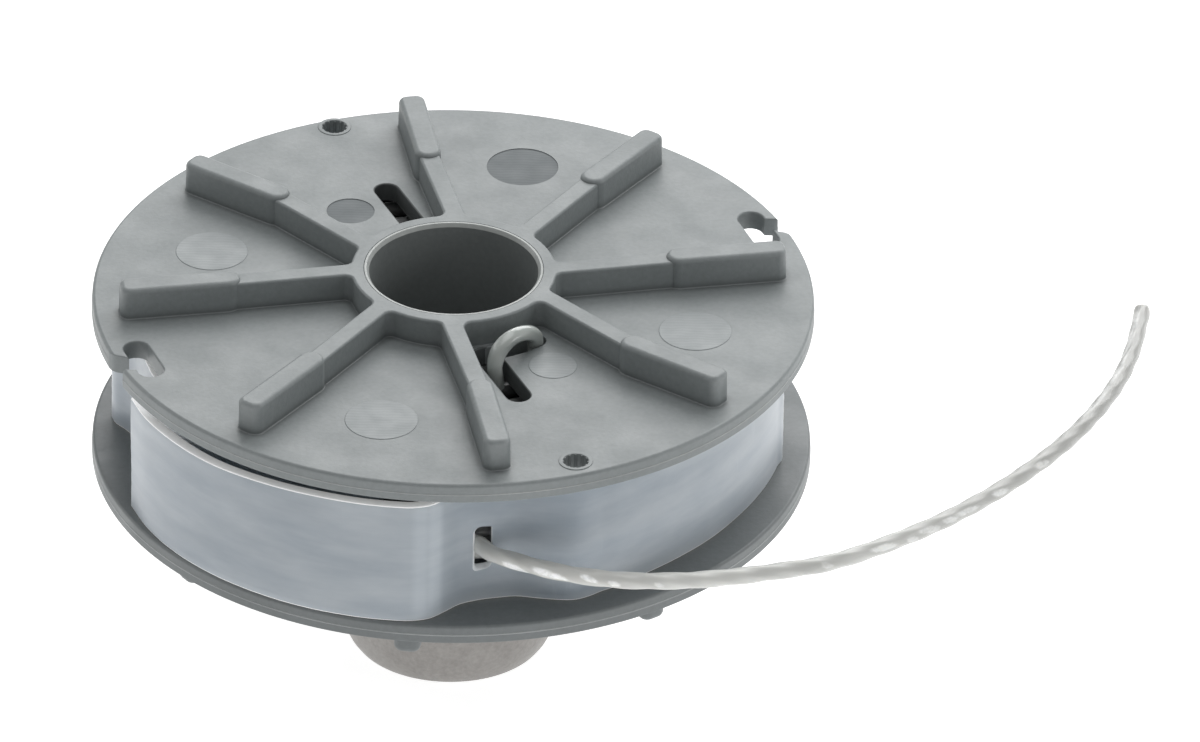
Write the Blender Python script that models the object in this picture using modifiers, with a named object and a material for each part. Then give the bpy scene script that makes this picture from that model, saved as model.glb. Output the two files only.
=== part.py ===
"""String-trimmer line spool: a moulded two-flange spool on a hub, with a pressed metal ground knob,
a wound nylon cutting line, its anchor loop, a clear retaining strap and the free end of the line.

Frame: metres, +Z up, axis of the spool on the Z axis, origin at the centre of the knob's flat foot.
"""
import bpy
import bmesh
from math import sin, cos, radians, pi, atan2, hypot
from mathutils import Vector, Matrix

MM = 0.001

# ------------------------------------------------------------------ driving dimensions (mm)
R_FLANGE = 44.0          # both flanges are 88 mm across
Z_UP_TOP = 49.5          # upper flange, top face
T_FLANGE = 2.4           # flange thickness at the rim
Z_LOW_TOP = 29.5         # lower flange, inner face
T_LOW = 2.35
Z_LOW_BOTTOM = Z_LOW_TOP - T_LOW
H_RIB = 3.6              # height of a rib and of the hub ring over the flange
H_PAD = 3.9              # height of the raised outer pads
W_RIB = 2.6
W_PAD = 3.35
R_PAD_END = 39.2         # centre of a pad's outer round end
L_PAD = 11.5             # distance between the centres of a pad's two round ends
PAD_ANGLE = 8.5          # direction of the first pad from +X, seen from above
PAD_LEAN = 2.0           # a pad is turned this much from the radius
RIB_HUB_ANGLES = (2.5, 46.0, 89.5, 153.5)   # where the first four ribs leave the hub; the others repeat them half a turn on
LOW_TURN = 2.0           # the lower flange's ribs, mirrored, are turned this much
RIM_ROUND = 0.5

R_BORE = 10.3            # drive bore, 20.6 mm across
R_SPIGOT = 11.1          # hub sleeve where it passes through the upper flange
R_RING_IN = 11.4         # bore of the upper flange (0.3 mm clear of the sleeve)
R_RING_OUT = 12.6
R_DRUM = 13.0            # drum that the line is wound on
R_BOSS = 12.2            # hub sleeve below the lower flange, inside the knob
R_LOW_BORE = 12.5
R_LOW_RING = 14.4
Z_HUB_TOP = Z_UP_TOP + H_RIB
Z_BORE_FLOOR = 7.9
Z_BOSS_END = 5.5

R_KNOB = 15.0            # metal ground knob
R_FOOT = 8.8             # its flat foot
Z_KNOB_TOP = 22.9
Z_KNOB_SPRING = 27.15    # height at which the knob's curve would be upright
T_KNOB = 1.2
KNOB_POWER = 3.0

ANCHOR_U = (0.406, -0.914)      # direction of the first anchor slot
ANCHOR_OFFSET = -1.86           # its middle line's distance from the axis
ANCHOR_W = 3.0
ANCHOR_U0 = 14.4
ANCHOR_U1 = (24.5, 25.9)        # outer end of the first and of the second anchor slot
R_ARC_IN, R_ARC_OUT = 13.1, 16.0
ARC_A0, ARC_A1 = -72.0, -46.5

LINE_D = 2.0
R_WIND = 35.0
GAP = 0.3

STRAP_T = 1.3
STRAP_Z0 = Z_LOW_TOP + GAP
STRAP_Z1 = 45.1
EXIT_ANGLE = -83.3       # the slot that the line leaves through
EXIT_W, EXIT_H = 2.1, 5.9
HOLES = ((15.34, -37.91), (-15.46, 38.93))      # small holes near the rim
Z_LINE = 36.96           # height of the free line

# plan of the strap's outer face: angle and radius as a share of the flange radius, from the
# free end on the outside round to the tail that is tucked inside
STRAP_PLAN = [(-154.3, 0.972), (-148, 0.984), (-141, 0.989), (-134, 0.992), (-128, 0.995), (-119, 0.996),
              (-112, 0.995), (-106, 0.995), (-101.7, 0.994), (-97, 0.990), (-94.8, 0.984), (-92.4, 0.962),
              (-90.2, 0.936), (-87.5, 0.898), (-83.8, 0.876), (-80.2, 0.868), (-77.3, 0.871), (-73.3, 0.896),
              (-70.1, 0.918), (-67.6, 0.931), (-64.9, 0.931), (-62, 0.923), (-58.8, 0.917), (-51, 0.906),
              (-42, 0.903), (-32, 0.905), (-20, 0.911), (-9.4, 0.919), (-4, 0.922), (20, 0.925),
              (50, 0.922), (90, 0.920), (130, 0.928), (155, 0.938), (170, 0.948), (176, 0.950),
              (179, 0.938), (181.5, 0.905), (184.5, 0.882), (192, 0.874), (205, 0.872), (225, 0.872),
              (245, 0.873), (258, 0.874)]

# route of the free line in its level plane (mm), from the strap's slot to the cut tip
LINE_ROUTE = [(5.7, -39.3), (9.6, -41.35), (13.6, -43.0), (18.3, -44.15), (23.4, -44.6), (30.5, -44.1),
              (39.3, -42.0), (47.3, -39.05), (57.2, -32.0), (64.5, -25.0), (70.3, -18.0), (75.1, -10.9),
              (78.8, -3.9), (81.6, 3.2), (83.4, 10.2), (84.5, 17.3), (84.75, 19.5)]

# the anchor loop: up through the slot, over, and down by the hub (x, y, height over the flange)
LOOP_ROUTE = [(5.50, -17.05, -2.9), (5.42, -16.95, -1.3), (5.30, -16.80, 0.2), (5.75, -16.10, 1.65),
              (6.75, -15.15, 2.6), (7.95, -14.05, 2.85), (9.15, -12.75, 2.4), (9.95, -11.45, 1.25),
              (10.15, -10.85, -0.2), (10.15, -10.75, -1.5), (10.15, -10.75, -2.9)]

# ------------------------------------------------------------------ an empty scene
for ob in list(bpy.data.objects):
    bpy.data.objects.remove(ob, do_unlink=True)


def collection(name):
    c = bpy.data.collections.get(name) or bpy.data.collections.new(name)
    if name not in bpy.context.scene.collection.children:
        bpy.context.scene.collection.children.link(c)
    return c


PARTS = collection("trimmer_line_spool")
TOOLS = collection("cutters")


def material(name, color, rough, metal=0.0, transmission=0.0):
    m = bpy.data.materials.get(name) or bpy.data.materials.new(name)
    m.use_nodes = True
    b = m.node_tree.nodes["Principled BSDF"]
    b.inputs["Base Color"].default_value = (*color, 1.0)
    b.inputs["Roughness"].default_value = rough
    b.inputs["Metallic"].default_value = metal
    b.inputs["Transmission Weight"].default_value = transmission
    return m


GREY = material("grey_nylon", (0.30, 0.33, 0.34), 0.5)
METAL = material("tumbled_metal", (0.40, 0.38, 0.36), 0.45, 0.9)
CLEAR = material("milky_polyethylene", (0.62, 0.68, 0.72), 0.35, 0.0, 0.5)
LINE = material("nylon_line", (0.55, 0.54, 0.50), 0.3)


def add(name, mesh, where=None):
    ob = bpy.data.objects.new(name, mesh)
    (where or PARTS).objects.link(ob)
    return ob


def cutter(ob):
    ob.hide_render = True
    ob.display_type = "WIRE"
    return ob


def turned(name, profile, steps, where=None, smooth=False):
    """A closed (r, z) profile in mm, its outer side from top to bottom, turned about Z."""
    me = bpy.data.meshes.new(name)
    bm = bmesh.new()
    vs = [bm.verts.new((r * MM, 0, z * MM)) for r, z in profile]
    n = len(vs)
    for i in range(n):
        bm.edges.new((vs[i], vs[(i + 1) % n]))
    bm.to_mesh(me)
    bm.free()
    ob = add(name, me, where)
    s = ob.modifiers.new("turn", "SCREW")
    s.axis = "Z"
    s.angle = 2 * pi
    s.steps = s.render_steps = steps
    s.use_merge_vertices = True
    s.merge_threshold = 0.00001
    s.use_smooth_shade = smooth
    return ob


def to_mesh(ob):
    """The evaluated object as a plain mesh object with its loose caps welded."""
    dg = bpy.context.evaluated_depsgraph_get()
    dg.update()
    me = bpy.data.meshes.new_from_object(ob.evaluated_get(dg))
    bm = bmesh.new()
    bm.from_mesh(me)
    bmesh.ops.remove_doubles(bm, verts=bm.verts, dist=0.000002)
    bmesh.ops.recalc_face_normals(bm, faces=bm.faces)
    bm.to_mesh(me)
    bm.free()
    name, mw, cols = ob.name, ob.matrix_world.copy(), list(ob.users_collection)
    bpy.data.objects.remove(ob, do_unlink=True)
    new = bpy.data.objects.new(name, me)
    new.matrix_world = mw
    for c in cols:
        c.objects.link(new)
    return new


def shade(ob):
    ob.data.shade_smooth()
    ob.data.set_sharp_from_angle(angle=radians(35))


def plate(name, outline, z0, z1, where=None):
    """A flat outline (mm) between two heights, as a filled 2D curve with an extrude."""
    cu = bpy.data.curves.new(name, "CURVE")
    cu.dimensions = "2D"
    cu.fill_mode = "BOTH"
    cu.extrude = (z1 - z0) / 2 * MM
    sp = cu.splines.new("POLY")
    sp.points.add(len(outline) - 1)
    for p, (x, y) in zip(sp.points, outline):
        p.co = (x * MM, y * MM, 0, 1)
    sp.use_cyclic_u = True
    ob = bpy.data.objects.new(name, cu)
    (where or PARTS).objects.link(ob)
    ob.location.z = (z0 + z1) / 2 * MM
    bpy.context.view_layer.update()
    return to_mesh(ob)


def obround(p, q, width, seg=7):
    """Outline of a bar with round ends between two points."""
    a = atan2(q[1] - p[1], q[0] - p[0])
    out = []
    for c, base in ((q, a - pi / 2), (p, a + pi / 2)):
        for i in range(seg + 1):
            t = base + pi * i / seg
            out.append((c[0] + width / 2 * cos(t), c[1] + width / 2 * sin(t)))
    return out


def bar(p, q, width):
    a = atan2(q[1] - p[1], q[0] - p[0])
    n = (-sin(a) * width / 2, cos(a) * width / 2)
    return [(p[0] + n[0], p[1] + n[1]), (p[0] - n[0], p[1] - n[1]), (q[0] - n[0], q[1] - n[1]), (q[0] + n[0], q[1] + n[1])]


def polar(r, a):
    return (r * cos(radians(a)), r * sin(radians(a)))


def boolean(ob, tool, op):
    m = ob.modifiers.new(op.lower() + "_" + tool.name, "BOOLEAN")
    m.operation = op
    m.object = tool
    m.solver = "EXACT"
    return m


def join_into(ob, tools, op):
    for t in tools:
        cutter(t)
        boolean(ob, t, op)


def smooth_points(points, n):
    """n points evenly spaced along a smooth curve through the given ones."""
    pts = [Vector(p) for p in points]
    ext = [pts[0] * 2 - pts[1]] + pts + [pts[-1] * 2 - pts[-2]]
    dense = []
    for i in range(1, len(ext) - 2):
        p0, p1, p2, p3 = ext[i - 1:i + 3]
        for k in range(24):
            t = k / 24
            dense.append(0.5 * ((2 * p1) + (p2 - p0) * t + (2 * p0 - 5 * p1 + 4 * p2 - p3) * t * t
                                + (3 * p1 - p0 - 3 * p2 + p3) * t ** 3))
    dense.append(pts[-1])
    run = [0.0]
    for a, b in zip(dense, dense[1:]):
        run.append(run[-1] + (b - a).length)
    out, j = [], 0
    for i in range(n):
        s = run[-1] * i / (n - 1)
        while j < len(run) - 2 and run[j + 1] < s:
            j += 1
        f = (s - run[j]) / max(run[j + 1] - run[j], 1e-12)
        out.append(dense[j].lerp(dense[j + 1], min(max(f, 0.0), 1.0)))
    return out


def tube(name, points, diameter):
    """A round wire along a polyline (mm), with filled ends."""
    cu = bpy.data.curves.new(name, "CURVE")
    cu.dimensions = "3D"
    cu.bevel_depth = diameter / 2 * MM
    cu.bevel_resolution = 2
    cu.use_fill_caps = True
    sp = cu.splines.new("POLY")
    sp.points.add(len(points) - 1)
    for p, co in zip(sp.points, points):
        p.co = (co[0] * MM, co[1] * MM, co[2] * MM, 1)
    ob = bpy.data.objects.new(name, cu)
    PARTS.objects.link(ob)
    return ob


# ------------------------------------------------------------------ ribs and pads of a flange
def rib_lines(side, r_start):
    """For each of the eight ribs: start at the hub, start and end of the pad. side -1 mirrors them in Y, turned by LOW_TURN."""
    out = []
    turn = radians(LOW_TURN) if side < 0 else 0.0
    for k in range(8):
        a = PAD_ANGLE + 45 * k
        end = polar(R_PAD_END, a)
        lean = radians(a + PAD_LEAN)
        start = (end[0] - L_PAD * cos(lean), end[1] - L_PAD * sin(lean))
        hub = polar(r_start, RIB_HUB_ANGLES[k % 4] + 180 * (k // 4))
        out.append([(x * cos(turn) - y * side * sin(turn), x * sin(turn) + y * side * cos(turn)) for x, y in (hub, start, end)])
    return out


def add_ribs(ob, side, z_face, up, r_start):
    tools = []
    for k, (hub, start, end) in enumerate(rib_lines(side, r_start)):
        lo, hi = (z_face - 1.0, z_face + H_RIB) if up else (z_face - H_RIB, z_face + 1.0)
        tools.append(plate(f"{ob.name}_rib_{k}", bar(hub, start, W_RIB), lo, hi, TOOLS))
        lo, hi = (z_face - 1.0, z_face + H_PAD) if up else (z_face - H_PAD, z_face + 1.0)
        tools.append(plate(f"{ob.name}_pad_{k}", obround(start, end, W_PAD), lo, hi, TOOLS))
    join_into(ob, tools, "UNION")


def drill(name, x, y, r, z0, z1, seg=16):
    outline = [(x + r * cos(2 * pi * i / seg), y + r * sin(2 * pi * i / seg)) for i in range(seg)]
    return plate(name, outline, z0, z1, TOOLS)


def turn_half(points):
    return [(-x, -y) for x, y in points]


# ------------------------------------------------------------------ upper flange
top = Z_UP_TOP
bot = Z_UP_TOP - T_FLANGE
upper = turned("upper_flange", [
    (R_RING_OUT - 0.2, top + H_RIB), (R_RING_OUT, top + H_RIB - 0.2), (R_RING_OUT, top),
    (R_FLANGE - RIM_ROUND, top), (R_FLANGE - 0.15, top - 0.15), (R_FLANGE, top - 0.5),
    (R_FLANGE, bot + 0.5), (R_FLANGE - 0.15, bot + 0.15), (R_FLANGE - RIM_ROUND, bot),
    (R_RING_IN, bot), (R_RING_IN, top + H_RIB)], 72)
upper = to_mesh(upper)
shade(upper)
add_ribs(upper, 1, top, True, 12.1)

# the two anchor slots: a straight slot outwards and an arc beside the hub ring
ux, uy = ANCHOR_U
nx, ny = -uy, ux


def slot_point(u):
    return (u * ux + ANCHOR_OFFSET * nx, u * uy + ANCHOR_OFFSET * ny)


r_mid, r_half = (R_ARC_IN + R_ARC_OUT) / 2, (R_ARC_OUT - R_ARC_IN) / 2
arc = [polar(R_ARC_OUT, ARC_A0 + (ARC_A1 - ARC_A0) * i / 7) for i in range(8)]
cx, cy = polar(r_mid, ARC_A1)
arc += [(cx + r_half * cos(radians(ARC_A1) + pi * i / 6), cy + r_half * sin(radians(ARC_A1) + pi * i / 6)) for i in range(1, 6)]
arc += [polar(R_ARC_IN, ARC_A1 + (ARC_A0 - ARC_A1) * i / 7) for i in range(8)]

# line-parking notches at the rim: an inner pocket with a mouth to the outside beside a hooked tooth
pocket = obround((38.0, 14.15), (36.2, 18.95), 3.1)
mouth = [(36.6, 18.97), (36.6, 17.2), (39.2, 16.35), (39.6, 16.12), (40.4, 15.92), (40.95, 15.55), (41.35, 15.0),
         (41.75, 14.2), (46.0, 13.5), (46.0, 20.5), (39.9, 19.9), (39.62, 19.35), (39.45, 19.08), (39.05, 18.97)]

cuts = []
for i, turn in enumerate((lambda p: list(p), turn_half)):
    straight = obround(slot_point(ANCHOR_U0), slot_point(ANCHOR_U1[i]), ANCHOR_W)
    cuts.append(plate(f"slot_{i}", turn(straight), bot - 1, top + 1, TOOLS))
    cuts.append(plate(f"arc_{i}", turn(arc), bot - 1, top + 1, TOOLS))
    cuts.append(plate(f"pocket_{i}", turn(pocket), bot - 1, top + 1, TOOLS))
    cuts.append(plate(f"mouth_{i}", turn(mouth), bot - 1, top + 1, TOOLS))
    cuts.append(drill(f"hole_{i}", *HOLES[i], 1.5, bot - 1, top + 1, 14))
join_into(upper, cuts, "DIFFERENCE")

# ------------------------------------------------------------------ lower flange
lt, lb = Z_LOW_TOP, Z_LOW_BOTTOM
lower = turned("lower_flange", [
    (R_FLANGE - RIM_ROUND, lt), (R_FLANGE - 0.15, lt - 0.15), (R_FLANGE, lt - 0.5),
    (R_FLANGE, lb + 0.5), (R_FLANGE - 0.15, lb + 0.15), (R_FLANGE - RIM_ROUND, lb),
    (R_LOW_RING, lb), (R_LOW_RING, lb - H_RIB), (R_LOW_BORE, lb - H_RIB), (R_LOW_BORE, lt)], 72)
lower = to_mesh(lower)
shade(lower)
add_ribs(lower, -1, lb, False, 13.7)

# ------------------------------------------------------------------ hub sleeve
hub = turned("hub_sleeve", [
    (R_SPIGOT - 0.25, Z_HUB_TOP), (R_SPIGOT, Z_HUB_TOP - 0.25), (R_SPIGOT, bot - GAP), (R_DRUM, bot - GAP),
    (R_DRUM, Z_LOW_TOP + GAP), (R_BOSS, Z_LOW_TOP + GAP), (R_BOSS, Z_BOSS_END + 2.2), (R_BOSS - 1.6, Z_BOSS_END),
    (0.0, Z_BOSS_END), (0.0, Z_BORE_FLOOR), (R_BORE, Z_BORE_FLOOR), (R_BORE, Z_HUB_TOP)], 48)
# the profile touches the axis in two points, so its axis edge is left out
me = hub.data
bm = bmesh.new()
bm.from_mesh(me)
bm.edges.ensure_lookup_table()
for e in list(bm.edges):
    if all(abs(v.co.x) < 1e-9 for v in e.verts):
        bm.edges.remove(e)
bm.to_mesh(me)
bm.free()
hub = to_mesh(hub)
shade(hub)


def knob_radius(z):
    s = (Z_KNOB_SPRING - z) / Z_KNOB_SPRING
    return R_FOOT + (R_KNOB - R_FOOT) * max(0.0, 1 - s ** KNOB_POWER) ** (1 / KNOB_POWER)


# ------------------------------------------------------------------ metal knob
heights = [Z_KNOB_TOP, 18.0, 14.0, 10.5, 7.5, 5.2, 3.4, 2.0, 0.95, 0.3]
outer = [(knob_radius(z), z) for z in heights] + [(R_FOOT, 0.0), (0.0, 0.0)]
inner = [(0.0, T_KNOB), (R_FOOT + 0.3, T_KNOB)] + [
    (knob_radius(max(z - 0.35, 0.0)) - T_KNOB, z + 0.0) for z in (2.4, 3.8, 5.8, 9.0, 13.0, Z_KNOB_TOP)]
knob = turned("ground_knob", outer + inner, 48, smooth=True)
me = knob.data
bm = bmesh.new()
bm.from_mesh(me)
for e in list(bm.edges):
    if all(abs(v.co.x) < 1e-9 for v in e.verts):
        bm.edges.remove(e)
bm.to_mesh(me)
bm.free()

# ------------------------------------------------------------------ wound line
Z_W0, Z_W1 = Z_LOW_TOP + GAP, 46.3
wind = turned("line_winding", [
    (R_WIND - 0.9, Z_W1), (R_WIND, Z_W1 - 0.9), (R_WIND, Z_W0 + 0.9), (R_WIND - 0.9, Z_W0),
    (R_DRUM + GAP, Z_W0), (R_DRUM + GAP, Z_W1)], 48, smooth=True)

# ------------------------------------------------------------------ anchor loop and free line
loop = tube("line_anchor_loop", smooth_points([(x, y, Z_UP_TOP + z) for x, y, z in LOOP_ROUTE], 22), LINE_D)
free = tube("line_free_end", smooth_points([(x, y, Z_LINE) for x, y in LINE_ROUTE], 30), LINE_D)


# ------------------------------------------------------------------ retaining strap
def strap_outline():
    """Outer face of the strap sampled along a smooth curve through its plan, then its inner face back."""
    pts = smooth_points([(*polar(r * R_FLANGE, a), 0.0) for a, r in STRAP_PLAN], 118)
    outside = [(p.x, p.y) for p in pts]
    inside = []
    for i, p in enumerate(pts):
        a, b = pts[max(i - 1, 0)], pts[min(i + 1, len(pts) - 1)]
        d = (b - a).normalized()
        inside.append((p.x - d.y * STRAP_T, p.y + d.x * STRAP_T))
    return outside + inside[::-1]


strap = plate("retaining_strap", strap_outline(), STRAP_Z0, STRAP_Z1)
shade(strap)
ex, ey = polar(38.0, EXIT_ANGLE)
hole = plate("exit_hole", bar(polar(34.0, EXIT_ANGLE), polar(42.0, EXIT_ANGLE), EXIT_W), Z_LINE - EXIT_H / 2, Z_LINE + EXIT_H / 2, TOOLS)
join_into(strap, [hole], "DIFFERENCE")

for ob, mat in ((upper, GREY), (lower, GREY), (hub, GREY), (knob, METAL), (strap, CLEAR), (wind, LINE), (loop, LINE), (free, LINE)):
    ob.data.materials.clear()
    ob.data.materials.append(mat)
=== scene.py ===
"""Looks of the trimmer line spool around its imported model. Lengths are in metres; mm() helpers keep the numbers readable."""
import bpy
import bmesh
from math import sin, cos, tan, radians, degrees, pi, atan2, hypot, sqrt
import numpy as np
from mathutils import Vector, Matrix, noise


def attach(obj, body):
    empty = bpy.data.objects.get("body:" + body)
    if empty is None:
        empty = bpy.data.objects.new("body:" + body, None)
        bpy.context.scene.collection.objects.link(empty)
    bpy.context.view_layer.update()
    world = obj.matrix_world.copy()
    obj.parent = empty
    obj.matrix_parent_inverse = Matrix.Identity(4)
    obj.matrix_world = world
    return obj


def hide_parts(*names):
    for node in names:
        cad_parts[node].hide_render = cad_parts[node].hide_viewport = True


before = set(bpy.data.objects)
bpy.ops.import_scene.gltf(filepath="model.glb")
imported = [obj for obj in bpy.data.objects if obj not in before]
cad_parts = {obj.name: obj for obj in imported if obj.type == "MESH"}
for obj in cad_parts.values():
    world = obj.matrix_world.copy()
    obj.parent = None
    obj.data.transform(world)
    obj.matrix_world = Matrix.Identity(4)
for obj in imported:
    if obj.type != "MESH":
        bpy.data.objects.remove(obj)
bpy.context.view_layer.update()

MM = 0.001
SCN = bpy.context.scene
DEP = bpy.context.evaluated_depsgraph_get

# ------------------------------------------------------------------ dimensions shared with the CAD (mm)
R_FLANGE, Z_TOP, T_FLANGE = 44.0, 49.5, 2.4
Z_LOW_TOP, T_LOW = 29.5, 2.35
Z_LOW = Z_LOW_TOP - T_LOW
H_RIB, H_PAD, H_PAD_LOW, W_RIB, W_PAD = 3.6, 4.08, 3.88, 2.6, 3.35
R_PAD_END, L_PAD, PAD_ANGLE, PAD_LEAN = 39.2, 11.5, 8.5, 2.0
RIB_HUB_ANGLES, LOW_TURN = (2.5, 46.0, 89.5, 153.5), 2.0
Z_LINE, LINE_D = 36.96, 2.0
STRAP_T, STRAP_Z0, STRAP_Z1 = 1.3, 29.8, 45.1
EXIT_ANGLE = -83.3

# ------------------------------------------------------------------ camera
R = R_FLANGE * MM
EL, ROLL = 0.55426128, 0.01937949
T = np.array([-0.405889977, -0.215195313, 41.5175920]) * R
ce, se = cos(EL), sin(EL)
M = np.array([[1, 0, 0], [0, -se, -ce], [0, ce, -se]])
cr, sr = cos(ROLL), sin(ROLL)
M = np.array([[cr, -sr, 0], [sr, cr, 0], [0, 0, 1]]) @ M
C = -M.T @ T + np.array([0, 0, Z_TOP * MM])
cam_data = bpy.data.cameras.new("camera")
cam_data.sensor_width = 36.0
cam_data.lens = 450.0
cam_data.clip_start, cam_data.clip_end = 0.1, 20.0
cam = bpy.data.objects.new("camera", cam_data)
SCN.collection.objects.link(cam)
cam.matrix_world = Matrix([[M[0][i], -M[1][i], -M[2][i], C[i]] for i in range(3)] + [[0, 0, 0, 1]])
SCN.camera = cam
SCN.view_settings.view_transform = "Standard"
SCN.view_settings.look = "None"


# ------------------------------------------------------------------ small helpers
def polar(r, a):
    return (r * cos(radians(a)), r * sin(radians(a)))


def new_object(name, me, mats=()):
    ob = bpy.data.objects.new(name, me)
    SCN.collection.objects.link(ob)
    for m in mats:
        me.materials.append(m)
    return ob


def mesh_from(name, verts, faces, mats=()):
    """Closed mesh from points in mm, faces turned outwards."""
    me = bpy.data.meshes.new(name)
    bm = bmesh.new()
    vs = [bm.verts.new((x * MM, y * MM, z * MM)) for x, y, z in verts]
    for f in faces:
        bm.faces.new([vs[i] for i in f])
    bmesh.ops.recalc_face_normals(bm, faces=bm.faces)
    bm.to_mesh(me)
    bm.free()
    return new_object(name, me, mats)


def loft(name, rings, mats=(), closed=False, caps=True):
    """Skin through rings of equal count (each a closed loop)."""
    n = len(rings[0])
    verts = [p for r in rings for p in r]
    faces = []
    m = len(rings)
    for i in range(m if closed else m - 1):
        a, b = i * n, ((i + 1) % m) * n
        for j in range(n):
            k = (j + 1) % n
            faces.append((a + j, a + k, b + k, b + j))
    if caps and not closed:
        faces.append(tuple(range(n))[::-1])
        faces.append(tuple((m - 1) * n + j for j in range(n)))
    return mesh_from(name, verts, faces, mats)


def fillet(corners, seg=5, closed=True):
    """Polyline of (r, z, radius) corners with each corner rounded."""
    out, n = [], len(corners)
    for i, (x, y, rad) in enumerate(corners):
        c = np.array([x, y], float)
        if rad <= 0 or (not closed and i in (0, n - 1)):
            out.append((x, y))
            continue
        a = np.array(corners[i - 1][:2], float) - c
        b = np.array(corners[(i + 1) % n][:2], float) - c
        la, lb = np.linalg.norm(a), np.linalg.norm(b)
        a, b = a / la, b / lb
        ang = np.arccos(np.clip(a @ b, -1, 1))
        d = min(rad / tan(ang / 2), la * 0.49, lb * 0.49)
        rr = d * tan(ang / 2)
        centre = c + (a + b) / np.linalg.norm(a + b) * rr / sin(ang / 2)
        p, q = c + a * d - centre, c + b * d - centre
        t0, t1 = atan2(p[1], p[0]), atan2(q[1], q[0])
        dt = (t1 - t0 + pi) % (2 * pi) - pi
        for k in range(seg + 1):
            t = t0 + dt * k / seg
            out.append((centre[0] + rr * cos(t), centre[1] + rr * sin(t)))
    return out


def revolve(name, profile, steps, mats=(), axis_open=False):
    """A closed (r, z) loop turned about Z, or one from axis to axis if axis_open."""
    verts, faces = [], []
    idx = []
    for i, (r, z) in enumerate(profile):
        if r < 1e-6:
            idx.append([len(verts)] * steps)
            verts.append((0, 0, z))
        else:
            idx.append(list(range(len(verts), len(verts) + steps)))
            for s in range(steps):
                t = 2 * pi * s / steps
                verts.append((r * cos(t), r * sin(t), z))
    n = len(profile)
    for i in range(n - 1 if axis_open else n):
        a, b = idx[i], idx[(i + 1) % n]
        for s in range(steps):
            k = (s + 1) % steps
            f = []
            for v in (a[s], a[k], b[k], b[s]):
                if v not in f:
                    f.append(v)
            if len(f) > 2:
                faces.append(tuple(f))
    return mesh_from(name, verts, faces, mats)


def baked(ob, angle=32, weighted=True, weld=0.0):
    """The evaluated mesh in place of the object's modifiers, smooth with sharp edges kept."""
    dg = DEP()
    dg.update()
    me = bpy.data.meshes.new_from_object(ob.evaluated_get(dg))
    me.name = ob.name
    old = ob.data
    ob.modifiers.clear()
    ob.data = me
    bpy.data.meshes.remove(old)
    if weld:
        bm = bmesh.new()
        bm.from_mesh(me)
        bmesh.ops.remove_doubles(bm, verts=bm.verts, dist=weld)
        bmesh.ops.dissolve_degenerate(bm, edges=bm.edges, dist=weld / 2)
        bm.to_mesh(me)
        bm.free()
    me.shade_smooth()
    me.set_sharp_from_angle(angle=radians(angle))
    if weighted:
        w = ob.modifiers.new("normals", "WEIGHTED_NORMAL")
        w.mode = "FACE_AREA"
        w.weight = 80
        w.keep_sharp = True
    return ob


def smooth(ob, angle=32):
    ob.data.shade_smooth()
    ob.data.set_sharp_from_angle(angle=radians(angle))
    return ob


def boolean(ob, tools, op):
    """Joins or cuts with every tool at once, then removes the tools."""
    col = bpy.data.collections.new("tools")
    for t in tools:
        for c in list(t.users_collection):
            c.objects.unlink(t)
        col.objects.link(t)
    SCN.collection.children.link(col)
    m = ob.modifiers.new("bool", "BOOLEAN")
    m.operation = op
    m.operand_type = "COLLECTION"
    m.collection = col
    m.solver = "EXACT"
    m.material_mode = "TRANSFER"
    dg = DEP()
    dg.update()
    me = bpy.data.meshes.new_from_object(ob.evaluated_get(dg))
    me.name = ob.name
    ob.modifiers.clear()
    old = ob.data
    ob.data = me
    bpy.data.meshes.remove(old)
    for t in tools:
        bpy.data.objects.remove(t, do_unlink=True)
    bpy.data.collections.remove(col)
    return ob


def catmull(points, n, sub=24):
    """n points evenly spaced along a smooth curve through the given ones."""
    pts = [np.array(p, float) for p in points]
    ext = [pts[0] * 2 - pts[1]] + pts + [pts[-1] * 2 - pts[-2]]
    dense = []
    for i in range(1, len(ext) - 2):
        p0, p1, p2, p3 = ext[i - 1:i + 3]
        for k in range(sub):
            t = k / sub
            dense.append(0.5 * ((2 * p1) + (p2 - p0) * t + (2 * p0 - 5 * p1 + 4 * p2 - p3) * t * t
                                + (3 * p1 - p0 - 3 * p2 + p3) * t ** 3))
    dense.append(pts[-1])
    dense = np.array(dense)
    run = np.r_[0, np.cumsum(np.linalg.norm(np.diff(dense, axis=0), axis=1))]
    s = np.linspace(0, run[-1], n)
    return np.stack([np.interp(s, run, dense[:, k]) for k in range(dense.shape[1])], 1)


def length_of(p):
    return float(np.linalg.norm(np.diff(np.array(p), axis=0), axis=1).sum())


# ------------------------------------------------------------------ materials
def nodes_of(name, color, rough, metal=0.0, **sockets):
    m = bpy.data.materials.new(name)
    m.use_nodes = True
    nt = m.node_tree
    b = nt.nodes["Principled BSDF"]
    b.inputs["Base Color"].default_value = (*color, 1)
    b.inputs["Roughness"].default_value = rough
    b.inputs["Metallic"].default_value = metal
    for k, v in sockets.items():
        b.inputs[k.replace("_", " ")].default_value = v
    return m, nt, b


def coords(nt, scale=(1, 1, 1)):
    tc = nt.nodes.new("ShaderNodeTexCoord")
    mp = nt.nodes.new("ShaderNodeMapping")
    mp.inputs["Scale"].default_value = scale
    nt.links.new(tc.outputs["Object"], mp.inputs["Vector"])
    return mp.outputs["Vector"]


def tex_noise(nt, vec, scale, detail=3, rough=0.5):
    n = nt.nodes.new("ShaderNodeTexNoise")
    n.inputs["Scale"].default_value = scale
    n.inputs["Detail"].default_value = detail
    n.inputs["Roughness"].default_value = rough
    nt.links.new(vec, n.inputs["Vector"])
    return n.outputs["Fac"]


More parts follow.
